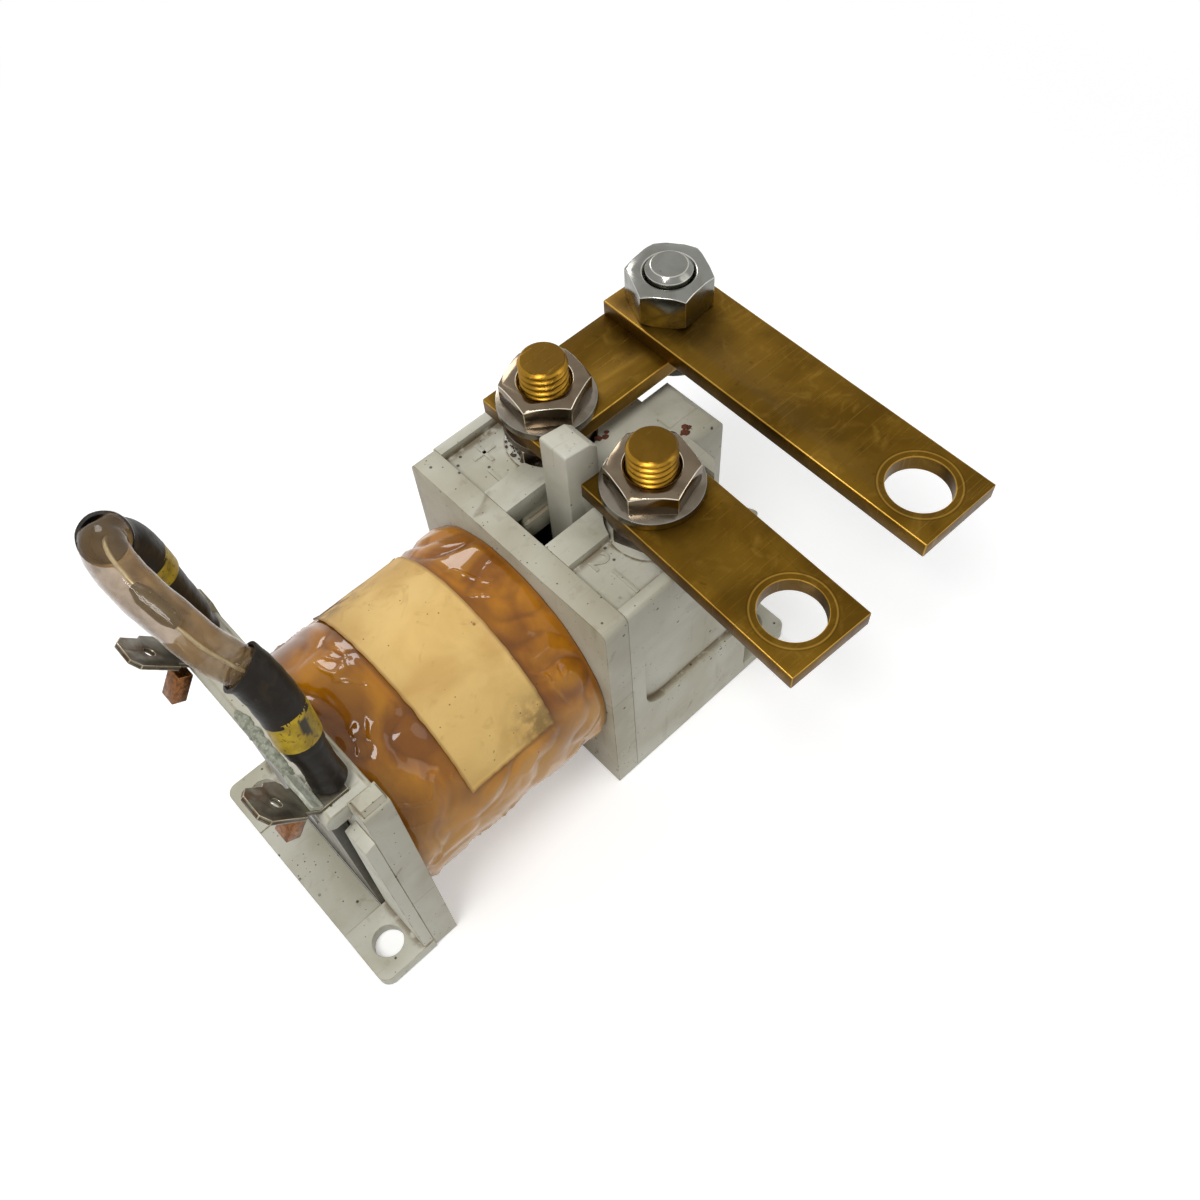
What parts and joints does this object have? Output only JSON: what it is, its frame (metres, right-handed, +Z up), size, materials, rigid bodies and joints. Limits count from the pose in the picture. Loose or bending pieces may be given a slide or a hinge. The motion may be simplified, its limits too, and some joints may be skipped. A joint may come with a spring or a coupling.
{
  "type": "electromagnetic relay",
  "caption": "Direct-current power relay: moving-core coil in a steel yoke, stud contact housing, brass busbars and a sleeved suppressor across the coil.",
  "frame": {"origin": "on the base plane, midway between the four mounting holes", "axes": "+X along the coil axis from the coil terminals to the contact housing, +Z up out of the base, -Y the side that the busbars stand out to"},
  "size_m": [0.1113, 0.0742, 0.0911],
  "materials": {
    "moulding": "aged grey-green plastic, satin",
    "bobbin_plastic": "aged grey-green plastic, satin",
    "yoke_steel": "dark phosphated steel",
    "core_steel": "turned steel",
    "copper": "copper",
    "film": "wrinkled amber film",
    "paper": "yellowed paper",
    "spring_steel": "spring steel",
    "contact_brass": "brass",
    "silver": "silver tips",
    "stud_brass": "tarnished brass",
    "bar_brass": "dark tarnished brass",
    "nut_steel": "brownish nickel plate",
    "zinc": "zinc plate",
    "tab_metal": "tarnished tinned brass",
    "adhesive": "dirty adhesive",
    "sleeve": "brown-black shrink sleeve",
    "band": "speckled yellow sleeve",
    "clear": "clear brown sleeve",
    "solder": "soldered wire"
  },
  "bodies": {
    "relay_base": {"front_bracket": "moulding", "magnet_frame": "yoke_steel", "bobbin": "bobbin_plastic", "winding": "copper", "film_wrap": "film", "label": "paper", "fixed_core": "core_steel", "return_spring": "spring_steel", "contact_housing": "moulding", "fixed_contact_1": "contact_brass", "fixed_contact_2": "contact_brass", "fixed_tips": "silver", "stud_1": "stud_brass", "stud_2": "stud_brass", "base_nuts": "nut_steel", "base_washers": "nut_steel", "stud_washers": "nut_steel", "stud_nuts": "nut_steel", "cross_busbar": "bar_brass", "long_busbar": "bar_brass", "short_busbar": "bar_brass", "link_bolt": "zinc", "link_nut": "zinc", "terminal_block": "moulding", "terminal_near": "tab_metal", "terminal_far": "tab_metal", "terminal_lugs": "copper", "adhesive_bead": "adhesive", "fixing_tape": "adhesive", "suppressor_near": "sleeve", "suppressor_far": "sleeve", "marker_bands": "band", "clear_sleeve": "clear", "lead_joint": "solder", "suppressor_leads": "sleeve"},
    "armature": {"plunger": "core_steel", "plunger_rod": "core_steel", "contact_carrier": "moulding", "contact_spring": "spring_steel"},
    "bridge": {"contact_bridge": "contact_brass", "bridge_tips": "silver"}
  },
  "joints": [
    {"name": "armature_slide", "type": "slide", "parent": "relay_base", "child": "armature", "axis": [1, 0, 0], "range_m": [-0.004, 0], "stiffness_N_per_m": 500, "springref_m": 0.004, "deforming": ["return_spring"]},
    {"name": "bridge_slide", "type": "slide", "parent": "armature", "child": "bridge", "axis": [1, 0, 0], "range_m": [0, 0.001], "deforming": ["contact_spring"]}
  ],
  "couplings": [
    {"joint": "bridge_slide", "follows": "armature_slide", "ratio": -0.25}
  ]
}
